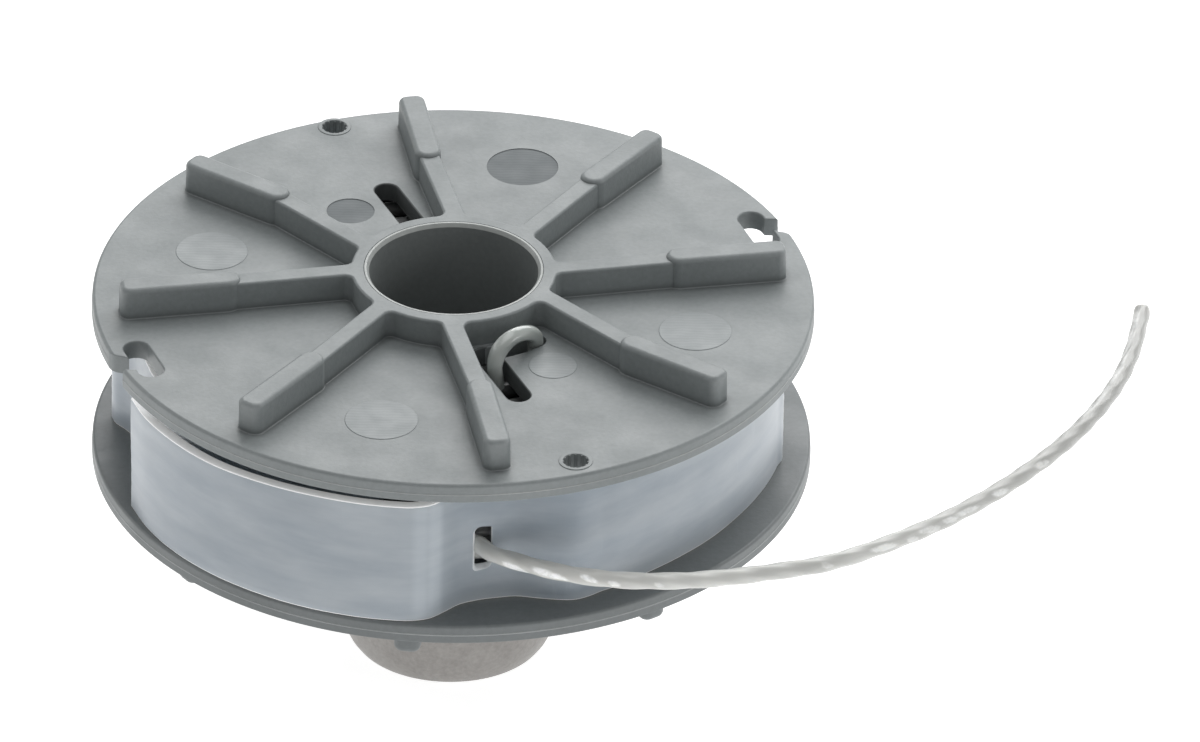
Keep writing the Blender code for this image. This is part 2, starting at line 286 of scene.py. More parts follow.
def ramp(nt, fac, stops):
    r = nt.nodes.new("ShaderNodeValToRGB")
    el = r.color_ramp.elements
    while len(el) < len(stops):
        el.new(0.5)
    for e, (p, c) in zip(el, stops):
        e.position = p
        e.color = (*c, 1) if len(c) == 3 else c
    nt.links.new(fac, r.inputs["Fac"])
    return r.outputs["Color"]


def mix(nt, a, b, fac=0.5, mode="MIX"):
    n = nt.nodes.new("ShaderNodeMix")
    n.data_type = "RGBA"
    n.blend_type = mode
    for sock, v in ((n.inputs["Factor"], fac), (n.inputs["A"], a), (n.inputs["B"], b)):
        if hasattr(v, "is_output"):
            nt.links.new(v, sock)
        else:
            sock.default_value = (*v, 1) if isinstance(v, tuple) and len(v) == 3 else v
    return n.outputs["Result"]


def spread(nt, fac, lo, hi, a=0.0, b=1.0):
    n = nt.nodes.new("ShaderNodeMapRange")
    n.inputs["From Min"].default_value = a
    n.inputs["From Max"].default_value = b
    n.inputs["To Min"].default_value = lo
    n.inputs["To Max"].default_value = hi
    nt.links.new(fac, n.inputs["Value"])
    return n.outputs["Result"]


def bumps(nt, bsdf, *layers):
    """Chained bump nodes: (height socket, distance in metres, strength)."""
    prev = None
    for h, dist, strength in layers:
        n = nt.nodes.new("ShaderNodeBump")
        n.inputs["Distance"].default_value = dist
        n.inputs["Strength"].default_value = strength
        nt.links.new(h, n.inputs["Height"])
        if prev is not None:
            nt.links.new(prev, n.inputs["Normal"])
        prev = n.outputs["Normal"]
    nt.links.new(prev, bsdf.inputs["Normal"])


def moulded(name, dark, light, rough=0.46, grain=1.0):
    """Moulded grey nylon: fine eroded grain, faint flow clouds, dulled handling marks and a few rubbed scratches, with
    painted shade darkening the inner corners.
    """
    m, nt, b = nodes_of(name, light, rough)
    v = coords(nt)
    cloud = tex_noise(nt, v, 70, 4, 0.55)
    fine = tex_noise(nt, v, 1500, 3, 0.6)
    base = ramp(nt, cloud, [(0.30, dark), (0.72, light)])
    base = mix(nt, base, ramp(nt, fine, [(0.3, tuple(c * 0.84 for c in light)), (0.7, tuple(min(1, c * 1.12) for c in light))]), 0.38)
    rub = tex_noise(nt, coords(nt, (1.0, 7.0, 1.0)), 130, 4, 0.7)
    base = mix(nt, base, tuple(min(1, c * 1.35) for c in light), spread(nt, rub, 0.0, 0.35, 0.66, 0.80))
    ao = nt.nodes.new("ShaderNodeAmbientOcclusion")       # painted shade: the base colour darkens in the inner corners, where the ambient occlusion is low
    ao.samples = 8
    ao.only_local = True
    ao.inputs["Distance"].default_value = 0.0013
    base = mix(nt, base, tuple(c * 0.36 for c in dark), spread(nt, ao.outputs["AO"], 0.85, 0.0, 0.38, 0.90))
    nt.links.new(base, b.inputs["Base Color"])
    nt.links.new(spread(nt, tex_noise(nt, v, 160, 3), rough - 0.07, rough + 0.09, 0.3, 0.7), b.inputs["Roughness"])
    bumps(nt, b, (tex_noise(nt, v, 60, 2), 0.00035, 0.05 * grain), (fine, 0.00006, 0.45 * grain), (tex_noise(nt, v, 3200, 2), 0.00003, 0.35 * grain))
    return m


GREY = moulded("grey_moulding", (0.180, 0.198, 0.200), (0.212, 0.232, 0.235))
# painted glint: a lighter copy of the grey moulding for the parting line ridge on the rims
PARTING_GLINT = moulded("grey_parting_line_glint", (0.180, 0.198, 0.200), (0.350, 0.366, 0.366), 0.40)
# painted shade: a darker copy of the grey moulding for the lower flange, which lies in shade
GREY_LOW_SHADED = moulded("grey_moulding_low_shaded", (0.136, 0.149, 0.151), (0.160, 0.175, 0.178))
# painted highlight: a lighter copy of the grey moulding for the chamfered mouth of the bore
GREY_LIP_HIGHLIGHT = moulded("grey_bore_rim_highlight", (0.250, 0.268, 0.262), (0.330, 0.348, 0.338), 0.34)
# painted shade: a near-black copy of the grey moulding for the walls inside the line slots
GREY_SLOT_SHADE = moulded("grey_slot_wall_shade", (0.070, 0.077, 0.078), (0.092, 0.101, 0.102), 0.62)
GREY_IN = moulded("grey_bore", (0.165, 0.178, 0.178), (0.198, 0.213, 0.213), 0.38, 0.6)


def disc_material(name, dark, light, rough):
    """Ejector-pin mark: smoother, with fine parallel machining lines."""
    m, nt, b = nodes_of(name, light, rough)
    v = coords(nt, (1, 1, 1))
    w = nt.nodes.new("ShaderNodeTexWave")
    w.wave_type = "BANDS"
    w.bands_direction = "Y"
    w.inputs["Scale"].default_value = 520
    w.inputs["Distortion"].default_value = 3.5
    w.inputs["Detail"].default_value = 2
    nt.links.new(v, w.inputs["Vector"])
    col = ramp(nt, w.outputs["Fac"], [(0.1, dark), (0.9, light)])
    nt.links.new(mix(nt, col, ramp(nt, tex_noise(nt, v, 300, 3), [(0.3, dark), (0.7, light)]), 0.6), b.inputs["Base Color"])
    nt.links.new(spread(nt, tex_noise(nt, v, 400, 2), rough - 0.06, rough + 0.08, 0.3, 0.7), b.inputs["Roughness"])
    bumps(nt, b, (w.outputs["Fac"], 0.00002, 0.22), (tex_noise(nt, v, 1800, 3), 0.00002, 0.3))
    return m


DISC = disc_material("grey_pin_mark", (0.204, 0.224, 0.228), (0.240, 0.262, 0.266), 0.46)
DISC_SUNK = disc_material("grey_pin_mark_sunk", (0.128, 0.142, 0.147), (0.160, 0.176, 0.182), 0.62)
DISC_SUNK.node_tree.nodes["Principled BSDF"].inputs["Specular IOR Level"].default_value = 0.25


def line_material(name, warm, rough=0.24, sss=0.5, coat=0.25):
    """Drawn nylon line: translucent grey, fine lengthwise draw marks, softer and glossier by turns, with whitened
    streaks painted as highlights and the far stretch painted darker as shade.
    """
    m, nt, b = nodes_of(name, warm, rough, IOR=1.53)
    b.inputs["Subsurface Weight"].default_value = sss
    b.inputs["Subsurface Radius"].default_value = (1.0, 0.97, 0.90)
    b.inputs["Subsurface Scale"].default_value = 0.0010
    b.inputs["Coat Weight"].default_value = coat
    b.inputs["Coat Roughness"].default_value = 0.16
    v = coords(nt)
    n1 = tex_noise(nt, v, 150, 3, 0.55)
    col = ramp(nt, n1, [(0.3, tuple(c * 0.92 for c in warm)), (0.7, tuple(min(1, c * 1.07) for c in warm))])
    painted_highlight = nt.nodes.new("ShaderNodeAttribute")             # painted highlights: whitened streaks where the lamps glint on the line
    painted_highlight.attribute_name = "painted_highlight"
    shade = nt.nodes.new("ShaderNodeAttribute")            # painted shade: the far stretch is a little greyer
    shade.attribute_name = "grey"
    col = mix(nt, col, tuple(c * 0.66 for c in warm), shade.outputs["Fac"])
    ragged = mix(nt, (1.0, 1.0, 1.0), ramp(nt, tex_noise(nt, v, 900, 3, 0.7), [(0.35, (0.35, 0.35, 0.35)), (0.55, (1, 1, 1))]), 0.8, "MULTIPLY")
    col = mix(nt, col, (0.97, 0.985, 0.98), mix(nt, painted_highlight.outputs["Color"], ragged, 1.0, "MULTIPLY"))
    nt.links.new(col, b.inputs["Base Color"])
    nt.links.new(spread(nt, tex_noise(nt, v, 420, 2), rough - 0.07, rough + 0.10, 0.3, 0.7), b.inputs["Roughness"])
    bumps(nt, b, (tex_noise(nt, v, 1100, 3), 0.00003, 0.22), (tex_noise(nt, v, 300, 2), 0.0001, 0.12))
    return m


LINE = line_material("nylon_line", (0.57, 0.575, 0.555), 0.36, 0.5, 0.12)
LINE_LOOP = line_material("nylon_line_loop", (0.40, 0.428, 0.412), 0.19, 0.5, 0.60)
# painted shade: the wound turns use a near-black copy of the line, for the shade inside the spool
LINE_WOUND_SHADED = line_material("nylon_line_wound_shaded", (0.17, 0.175, 0.175), 0.36, 0.2)


def strap_material(name, lo, hi, rough, trans, sss, sheen=0.0, folded=False):
    """Milky polyethylene strip: translucent, cloudy, with faint streaks along it, partly drawn streaks and partly
    painted shadows of the wound turns behind it, and soft scuffs.
    """
    m, nt, b = nodes_of(name, hi, rough, IOR=1.51)
    b.inputs["Transmission Weight"].default_value = trans
    b.inputs["Subsurface Weight"].default_value = sss
    b.inputs["Subsurface Radius"].default_value = (1.0, 1.0, 1.0)
    b.inputs["Subsurface Scale"].default_value = 0.0012
    b.inputs["Sheen Weight"].default_value = sheen
    b.inputs["Sheen Roughness"].default_value = 0.45
    v = coords(nt, (1, 1, 1))
    xyz = nt.nodes.new("ShaderNodeSeparateXYZ")
    nt.links.new(v, xyz.inputs[0])
    neg = nt.nodes.new("ShaderNodeMath")
    neg.operation = "MULTIPLY"
    neg.inputs[1].default_value = -1.0
    nt.links.new(xyz.outputs["Y"], neg.inputs[0])
    turn = nt.nodes.new("ShaderNodeMath")                  # angle round the strip, zero at the exit side
    turn.operation = "ARCTAN2"
    nt.links.new(xyz.outputs["X"], turn.inputs[0])
    nt.links.new(neg.outputs[0], turn.inputs[1])
    arc = nt.nodes.new("ShaderNodeMath")
    arc.operation = "MULTIPLY"
    arc.inputs[1].default_value = 0.0395
    nt.links.new(turn.outputs[0], arc.inputs[0])
    flat = nt.nodes.new("ShaderNodeCombineXYZ")
    nt.links.new(arc.outputs[0], flat.inputs["X"])
    nt.links.new(xyz.outputs["Z"], flat.inputs["Z"])

    def strip(sx, sz, scale, detail=4, rough_=0.55, off=0.0):
        mp = nt.nodes.new("ShaderNodeMapping")
        mp.inputs["Scale"].default_value = (sx, 1.0, sz)
        mp.inputs["Location"].default_value = (off, off, 0.0)
        nt.links.new(flat.outputs["Vector"], mp.inputs["Vector"])
        return tex_noise(nt, mp.outputs["Vector"], scale, detail, rough_)
    # streak and cloud run along the strip: drawn streaks in the plastic and painted shadows of the wound turns seen
    # through it
    streak = strip(0.16, 1.0, 330, 4, 0.6)
    cloud = strip(0.45, 1.0, 115, 4, 0.6, 0.37)
    mid = tuple((a + c) / 2 for a, c in zip(lo, hi))
    col = ramp(nt, cloud, [(0.32, lo), (0.68, hi)])
    col = mix(nt, col, ramp(nt, streak, [(0.34, lo), (0.5, mid), (0.66, hi)]), 0.42)
    smudge = strip(0.55, 1.0, 62, 3, 0.5, 1.9)
    col = mix(nt, col, tuple(c * 0.78 for c in lo), spread(nt, smudge, 0.0, 0.45, 0.56, 0.74))
    scuff = tex_noise(nt, coords(nt, (1.0, 1.0, 0.16)), 260, 4, 0.75)
    col = mix(nt, col, tuple(min(1, c * 1.25) for c in hi), spread(nt, scuff, 0.0, 0.30, 0.66, 0.80))
    if folded:
        # the plastic is whitened where it is folded in beside the exit slot, and round the slot's edge
        sp_ = nt.nodes.new("ShaderNodeSeparateXYZ")
        nt.links.new(v, sp_.inputs[0])
        along = spread(nt, sp_.outputs["X"], 0.0, 1.0, -0.0060, 0.0010)
        fold = ramp(nt, along, [(0.24, (0, 0, 0)), (0.38, (0.22, 0.22, 0.22)), (0.48, (0.20, 0.20, 0.20)), (0.55, (0.10, 0.10, 0.10)), (0.64, (0.28, 0.28, 0.28)), (0.74, (0.34, 0.34, 0.34)), (0.83, (0, 0, 0))])
        front = spread(nt, sp_.outputs["Y"], 1.0, 0.0, -0.0400, -0.0385)
        fold = mix(nt, fold, (0.0, 0.0, 0.0), spread(nt, front, 1.0, 0.0))
        col = mix(nt, col, tuple(min(1, c * 1.42) for c in hi), mix(nt, fold, ramp(nt, streak, [(0.25, (0.45, 0.45, 0.45)), (0.7, (1, 1, 1))]), 0.8, "MULTIPLY"))
    nt.links.new(col, b.inputs["Base Color"])
    nt.links.new(spread(nt, cloud, rough - 0.06, rough + 0.09, 0.25, 0.75), b.inputs["Roughness"])
    bumps(nt, b, (streak, 0.00022, 0.20), (tex_noise(nt, v, 45, 2), 0.0008, 0.22), (tex_noise(nt, v, 1500, 2), 0.00003, 0.25))
    return m


STRAP = strap_material("strap_plastic", (0.315, 0.375, 0.435), (0.56, 0.605, 0.640), 0.34, 0.30, 0.35, 0.32, True)
STRAP_EDGE_GLOW = strap_material("strap_cut_edge_glow", (0.78, 0.80, 0.82), (0.88, 0.89, 0.90), 0.45, 0.0, 0.5)
# rim round the exit slot: lighter, partly whitened plastic and partly painted highlight, with a faint emission that is
# a painted glow
STRAP_RIM_GLOW = strap_material("strap_slot_rim_glow", (0.72, 0.75, 0.77), (0.88, 0.90, 0.91), 0.42, 0.05, 0.4)
STRAP_RIM_GLOW.node_tree.nodes["Principled BSDF"].inputs["Emission Color"].default_value = (0.93, 0.97, 1.0, 1)
STRAP_RIM_GLOW.node_tree.nodes["Principled BSDF"].inputs["Emission Strength"].default_value = 0.05
EDGE_GLOW = STRAP_EDGE_GLOW.node_tree.nodes["Principled BSDF"]      # painted glow: the cut edges are near white and emit light, standing in for light that runs along inside the strip and leaves at its cut edges
EDGE_GLOW.inputs["Emission Color"].default_value = (1.0, 0.985, 0.95, 1)
EDGE_GLOW.inputs["Emission Strength"].default_value = 0.17


def knob_material():
    """Pressed metal, tumbled dull: mottled warm grey, with roughness that varies in patches."""
    m, nt, b = nodes_of("knob_metal", (0.30, 0.286, 0.268), 0.40, 0.82)
    v = coords(nt)
    big = tex_noise(nt, v, 170, 5, 0.65)
    mid = tex_noise(nt, v, 620, 4, 0.6)
    fine = tex_noise(nt, v, 1900, 3, 0.6)
    col = ramp(nt, big, [(0.28, (0.215, 0.205, 0.194)), (0.5, (0.295, 0.283, 0.270)), (0.74, (0.375, 0.362, 0.346))])
    col = mix(nt, col, ramp(nt, mid, [(0.3, (0.205, 0.195, 0.184)), (0.72, (0.385, 0.371, 0.355))]), 0.5)
    col = mix(nt, col, ramp(nt, fine, [(0.3, (0.20, 0.19, 0.18)), (0.7, (0.40, 0.385, 0.37))]), 0.25)
    nt.links.new(col, b.inputs["Base Color"])
    nt.links.new(spread(nt, mid, 0.30, 0.52, 0.28, 0.72), b.inputs["Roughness"])
    bumps(nt, b, (big, 0.0004, 0.22), (mid, 0.00014, 0.38), (fine, 0.00005, 0.45))
    return m


METAL = knob_material()


# ------------------------------------------------------------------ cords: the free end of the line
LINE_ROUTE = [(5.7, -39.3), (9.6, -41.35), (13.6, -43.0), (18.3, -44.15), (23.4, -44.6), (30.5, -44.1),
              (39.3, -42.0), (47.3, -39.05), (57.2, -32.0), (64.5, -25.0), (70.3, -18.0), (75.1, -10.9),
              (78.8, -3.9), (81.6, 3.2), (83.4, 10.2), (84.5, 17.3), (84.75, 19.5)]


def twisted(name, pts, size, pitch, mats, phase=0.0, seg=16, square=0.16, swell=0.0, marks=()):
    """A drawn line of rounded-square section that turns slowly about its own length.
    marks are painted highlights, whitened streaks on one side: (start, end, side as a direction, half width in degrees,
    amount), start and end in mm along it."""
    pts = np.array(pts, float)
    n = len(pts)
    tan_ = np.gradient(pts, axis=0)
    tan_ /= np.linalg.norm(tan_, axis=1)[:, None]
    up = np.array([0, 0, 1.0])
    run = np.r_[0, np.cumsum(np.linalg.norm(np.diff(pts, axis=0), axis=1))]
    u = np.cross(tan_[0], up)
    if np.linalg.norm(u) < 1e-3:
        u = np.array([1.0, 0, 0])
    u /= np.linalg.norm(u)
    rings, painted_highlight = [], np.zeros(n * seg)
    for i in range(n):
        u = u - tan_[i] * (u @ tan_[i])
        u /= np.linalg.norm(u)
        w = np.cross(tan_[i], u)
        turn = 2 * pi * run[i] / pitch + phase
        ring = []
        for k in range(seg):
            t = 2 * pi * k / seg
            r = size / 2 * (1 + swell * min(1.0, run[i] / run[-1] * 1.6)) * (1 - square / 2 + square / 2 * cos(4 * (t - turn)) * -1)
            ring.append(tuple(pts[i] + u * r * cos(t) + w * r * sin(t)))
            for m0, m1, side, half, amount in marks:
                f = 2 * (run[i] - m0) / (m1 - m0) - 1
                if -1.1 < f < 1.1:
                    d_ = u * cos(t) + w * sin(t)
                    side_ = np.array(side, float)
                    side_ -= tan_[i] * (side_ @ tan_[i])
                    side_ /= np.linalg.norm(side_)
                    ang_ = degrees(atan2(d_ @ np.cross(tan_[i], side_), d_ @ side_)) - half * 0.55 * f
                    e = min(1.0, max(0.0, 2.2 * (1.0 - (ang_ / half) ** 2 - f * f)))
                    painted_highlight[i * seg + k] = max(painted_highlight[i * seg + k], amount * e)
        rings.append(ring)
    ob = loft(name, rings, mats)
    at = ob.data.attributes.new("painted_highlight", "FLOAT_COLOR", "POINT")
    at.data.foreach_set("color", np.stack([painted_highlight, painted_highlight, painted_highlight, np.ones_like(painted_highlight)], 1).astype(np.float32).ravel())
    # painted shade: how much the far stretch of the free line is darkened
    far = np.repeat(np.clip((run - 32.0) / 60.0, 0, 1) * (1.0 if marks else 0.0), seg)
    at = ob.data.attributes.new("grey", "FLOAT", "POINT")
    at.data.foreach_set("value", far.astype(np.float32))
    return smooth(ob, 50)


inside = [(1.35, -35.75), (2.75, -36.15), (3.75, -36.9), (4.55, -38.0)]
route = [(x, y, Z_LINE) for x, y in inside + LINE_ROUTE]
free_pts = catmull(route, 360)
# painted highlights: the whitened streaks on the free line sit on the sides that face the lamps and the camera
LOW, LOWER, MID, HIGH = (0.0, -1.0, 0.0), (0.0, -0.93, -0.36), (0.0, -0.93, 0.28), (-0.42, -0.74, 0.50)
LINE_HIGHLIGHTS = [(7.4, 11.2, LOWER, 34, 1.0), (11.2, 16.2, LOW, 30, 1.0), (17.3, 19.6, MID, 26, 0.95), (20.6, 22.2, LOW, 22, 0.8), (26.0, 27.4, LOW, 20, 0.6),
         (46.3, 47.9, MID, 26, 0.40), (52.8, 57.0, MID, 28, 0.55), (58.2, 60.2, LOW, 24, 0.40), (60.0, 63.6, MID, 26, 0.50), (63.9, 66.4, MID, 24, 0.45),
         (65.8, 70.2, MID, 24, 0.55), (72.4, 75.4, MID, 28, 0.60), (80.6, 83.6, MID, 28, 0.45), (93.0, 101.0, HIGH, 20, 0.30), (99.0, 110.0, HIGH, 22, 0.38), (108.0, 121.5, HIGH, 22, 0.42)]
free_line = twisted("line_free_end_visual", free_pts, LINE_D * 1.06, 19.0, [LINE], 0.4, 28, 0.09, -0.02, LINE_HIGHLIGHTS)
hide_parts("line_free_end")
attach(free_line, "strap")


# ------------------------------------------------------------------ ribs, pads and turned flanges
def obround(p, q, width, seg=9):
    a = atan2(q[1] - p[1], q[0] - p[0])
    out = []
    for c, base in ((q, a - pi / 2), (p, a + pi / 2)):
        for i in range(seg + 1):
            t = base + pi * i / seg
            out.append((c[0] + width / 2 * cos(t), c[1] + width / 2 * sin(t)))
    return out


def bar(p, q, width):
    a = atan2(q[1] - p[1], q[0] - p[0])
    nx, ny = -sin(a) * width / 2, cos(a) * width / 2
    return [(p[0] - nx, p[1] - ny), (q[0] - nx, q[1] - ny), (q[0] + nx, q[1] + ny), (p[0] + nx, p[1] + ny)]


def section(height, foot, top, draft, sink=0.35):
    """(height, sideways offset) levels of a moulded rib: flared foot, drafted wall, rounded top."""
    out = [(-sink, foot)]
    for i in range(6):
        t = radians(90 * i / 5)
        out.append((foot - foot * cos(t), foot - foot * sin(t)))
    for i in range(5):
        t = radians(90 * i / 4)
        out.append((height - top + top * sin(t), -draft - top + top * cos(t)))
    return out


def rib_lines(side, r_start):
    """Start at the hub, start and end of the pad of each rib; side -1 mirrors them in Y and turns them a little."""
    out = []
    turn = radians(LOW_TURN) if side < 0 else 0.0
    for k in range(8):
        a = PAD_ANGLE + 45 * k
        end = polar(R_PAD_END, a)
        lean = radians(a + PAD_LEAN)
        start = (end[0] - L_PAD * cos(lean), end[1] - L_PAD * sin(lean))
        hub = polar(r_start, RIB_HUB_ANGLES[k % 4] + 180 * (k // 4))
        out.append([(x * cos(turn) - y * side * sin(turn), x * sin(turn) + y * side * cos(turn)) for x, y in (hub, start, end)])
    return out


def star(lines, r_ring, width, corner, off):
    """Outline of the hub ring with its eight ribs, grown by off; the inner corners keep a fillet."""
    rr, hw, f = r_ring + off, width / 2 + off, corner - off
    pts, arcs = [], []
    lines = sorted(lines, key=lambda l: atan2(l[0][1], l[0][0]) % (2 * pi))
    for hub, start, _ in lines:
        p0, p1 = np.array(hub), np.array(start)
        d = (p1 - p0) / np.linalg.norm(p1 - p0)
        n = np.array([-d[1], d[0]])
        sides = []
        for s in (-1, 1):
            q = p0 + s * (hw + f) * n
            bq = q @ d
            t = -bq + sqrt(bq * bq - q @ q + (rr + f) ** 2)
            c = q + t * d
            a0 = atan2(-c[1], -c[0])
            e = -s * n
            a1 = atan2(e[1], e[0])
            da = (a1 - a0 + pi) % (2 * pi) - pi
            sides.append([tuple(c + f * np.array([cos(a0 + da * i / 6), sin(a0 + da * i / 6)])) for i in range(7)])
        tip = p1 + d * 1.0
        rib = sides[0] + [tuple(tip - hw * n), tuple(tip + hw * n)] + sides[1][::-1]
        arcs.append(rib)
    for i, rib in enumerate(arcs):
        nxt = arcs[(i + 1) % len(arcs)]
        pts += rib
        a0, a1 = atan2(rib[-1][1], rib[-1][0]), atan2(nxt[0][1], nxt[0][0])
        da = (a1 - a0) % (2 * pi)
        pts += [(rr * cos(a0 + da * j / 9), rr * sin(a0 + da * j / 9)) for j in range(1, 9)]
    return pts


def pad_outline(p, q, width, off, corner=1.15, seg=6):
    """A pad seen from above: round at its inner end, squarer at its outer end."""
    a = atan2(q[1] - p[1], q[0] - p[0])
    ux_, uy_ = cos(a), sin(a)
    hw, ln = width / 2, hypot(q[0] - p[0], q[1] - p[1])
    out = []
    c = min(corner, hw)
    for (cx, cy, b, rad) in ((ln + hw - c, -hw + c, -90, c), (ln + hw - c, hw - c, 0, c)):
        for i in range(seg + 1):
            t = radians(b + 90 * i / seg)
            out.append((cx + (rad + off) * cos(t), cy + (rad + off) * sin(t)))
    for i in range(2 * seg + 1):
        t = radians(90 + 180 * i / (2 * seg))
        out.append(((hw + off) * cos(t), (hw + off) * sin(t)))
    return [(p[0] + x * ux_ - y * uy_, p[1] + x * uy_ + y * ux_) for x, y in out]


def relief(tag, side, z_face, up, r_ring, mats):
    """The ring and ribs as one skin and the eight pads that stand a little higher."""
    s = 1 if up else -1
    lines = rib_lines(side, r_ring - 0.5)
    lv = section(H_RIB, 0.15, 0.34, 0.04)
    out = [loft(f"{tag}_star", [[(x, y, z_face + s * h) for x, y in star(lines, r_ring, W_RIB, 1.0, o)] for h, o in lv], mats)]
    lv = section(H_PAD, 0.17, 0.62, 0.04) if up else section(H_PAD_LOW, 0.17, 0.85, 0.04)
    for k, (_, start, end) in enumerate(lines):
        out.append(loft(f"{tag}_pad_{k}", [[(x, y, z_face + s * h) for x, y in pad_outline(start, end, W_PAD, o)] for h, o in lv], mats))
    return out


def cut_levels(top, depth, rnd=0.22, both=True):
    """Levels of a cutter whose edge is rounded where it meets the faces."""
    out = [(top + 0.6, rnd * 1.0)]
    for i in range(5):
        t = radians(90 * i / 4)
        out.append((top - rnd * (1 - cos(t)) * 1.0 + 0.004, rnd - rnd * sin(t)))
    out.append((top - depth - 0.6, 0.0))
    return out


def cutter(name, outline, top, depth, rnd=0.22, mats=()):
    """outline(offset) gives the shape grown by offset; the cutter flares by rnd at the top face."""
    return loft(name, [[(x, y, z) for x, y in outline(o)] for z, o in cut_levels(top, depth, rnd)], mats)


def half_turn(pts, on):
    return [(-x, -y) for x, y in pts] if on else pts


# upper flange: a turned disc with its ring, ribs and pads, then the bore; the rim has a faint parting line
z = Z_TOP
rim_up = fillet([
    (0.0, z, 0), (R_FLANGE - 0.04, z, 0.45), (R_FLANGE - 0.02, z - 1.28, 0.02), (R_FLANGE + 0.035, z - 1.34, 0.02),
    (R_FLANGE + 0.03, z - 1.44, 0.02), (R_FLANGE + 0.02, z - T_FLANGE, 0.14), (0.0, z - T_FLANGE, 0)], 5, closed=False)
upper = revolve("upper_flange_visual", rim_up, 224, [GREY], axis_open=True)


def glint_ridge(ob, lo_z, hi_z):
    """The parting line ridge on the rim gets a lighter material: a painted glint along it."""
    ob.data.materials.append(PARTING_GLINT)
    for p in ob.data.polygons:
        if lo_z < p.center.z / MM < hi_z and hypot(p.center.x, p.center.y) / MM > R_FLANGE - 0.3:
            p.material_index = 1


glint_ridge(upper, z - 1.42, z - 1.27)
boolean(upper, relief("up", 1, z, True, 12.55, [GREY]), "UNION")

ux, uy = 0.406, -0.914
nx, ny = -uy, ux


def slot_point(u):
    return (u * ux - 1.86 * nx, u * uy - 1.86 * ny)


def arc_outline(off, a0=-74.0, a1=-46.5, r0=13.1, r1=16.0):
    rm, rh = (r0 + r1) / 2, (r1 - r0) / 2 + off
    out = [polar(rm + rh, a0 + (a1 - a0) * i / 9) for i in range(10)]
    cx, cy = polar(rm, a1)
    out += [(cx + rh * cos(radians(a1) + pi * i / 8), cy + rh * sin(radians(a1) + pi * i / 8)) for i in range(1, 8)]
    out += [polar(rm - rh, a1 + (a0 - a1) * i / 9) for i in range(10)]
    return out


def toothed(x, y, r, teeth=12, depth=0.16, per=4):
    def f(off):
        out = []
        for i in range(teeth * per):
            t = 2 * pi * i / (teeth * per)
            rr = r + off - (depth if i % per == 0 else 0.0) * (1 if off < 0.01 else 0)
            out.append((x + rr * cos(t), y + rr * sin(t)))
        return out
    return f


def grown(poly, off):
    """A polygon with every corner moved outwards by off along its bisector."""
    n, out = len(poly), []
    area_ = sum(poly[i][0] * poly[(i + 1) % n][1] - poly[(i + 1) % n][0] * poly[i][1] for i in range(n))
    sg = 1.0 if area_ > 0 else -1.0
    for i in range(n):
        a, c, d = (np.array(poly[j % n], float) for j in (i - 1, i, i + 1))
        e0, e1 = (c - a) / np.linalg.norm(c - a), (d - c) / np.linalg.norm(d - c)
        n0, n1 = np.array([e0[1], -e0[0]]) * sg, np.array([e1[1], -e1[0]]) * sg
        b_ = (n0 + n1) / max(np.linalg.norm(n0 + n1), 1e-9)
        out.append(tuple(c + b_ * off / max(b_ @ n0, 0.55)))
    return out


HOLES = ((15.34, -37.91), (-15.46, 38.93))
MOUTH = [(37.2, 18.97), (39.05, 18.97), (39.45, 19.08), (39.62, 19.35), (39.9, 19.9), (46, 20.5), (46, 13.5), (41.75, 14.2),
         (41.35, 15.0), (40.95, 15.55), (40.4, 15.92), (39.6, 16.12), (39.2, 16.35), (37.2, 17.2)]
SLOT_END = (24.5, 25.5)
lips, discs = [], []
for i, (hx, hy) in enumerate(HOLES):
    lip = fillet([(1.55, z - 0.4, 0), (1.55, z + 0.08, 0.04), (2.05, z + 0.08, 0.05), (2.09, z - 0.4, 0)], 3)
    ring = revolve(f"hole_lip_{i}", lip, 40, [GREY])
    for v in ring.data.vertices:
        v.co.x += hx * MM
        v.co.y += hy * MM
    lips.append(ring)


def disc(name, cx, cy, r, levels, mats, seg):
    return loft(name, [[(cx + (r + o) * cos(2 * pi * j / seg), cy + (r + o) * sin(2 * pi * j / seg), zz) for j in range(seg)] for zz, o in levels], mats)


RAISED = ((z - 0.3, 0.0), (z + 0.02, 0.0), (z + 0.05, -0.03), (z + 0.07, -0.09))
SUNK = ((z - 0.09, -0.03), (z - 0.07, 0.0), (z + 0.5, 0.0))
for i, (cx, cy, r) in enumerate(((-29.7, 8.7, 4.42), (-8.1, -29.48, 4.42), (29.5, -7.78, 4.42), (12.34, -16.32, 2.95))):
    lips.append(disc(f"pin_up_{i}", cx, cy, r, RAISED, [DISC], 64))
boolean(upper, lips, "UNION")
cuts = [loft("bore_cut", [[(r * cos(2 * pi * j / 128), r * sin(2 * pi * j / 128), zz) for j in range(128)]
                          for r, zz in ((10.96, z - 4.0), (10.96, z + H_RIB - 0.03), (10.99, z + H_RIB), (11.5, z + H_RIB + 0.5))], [GREY])]
for i, (cx, cy, r) in enumerate(((7.98, 30.25, 4.42), (-12.98, 18.91, 2.95))):
    cuts.append(disc(f"pin_down_{i}", cx, cy, r, SUNK, [DISC_SUNK], 64))
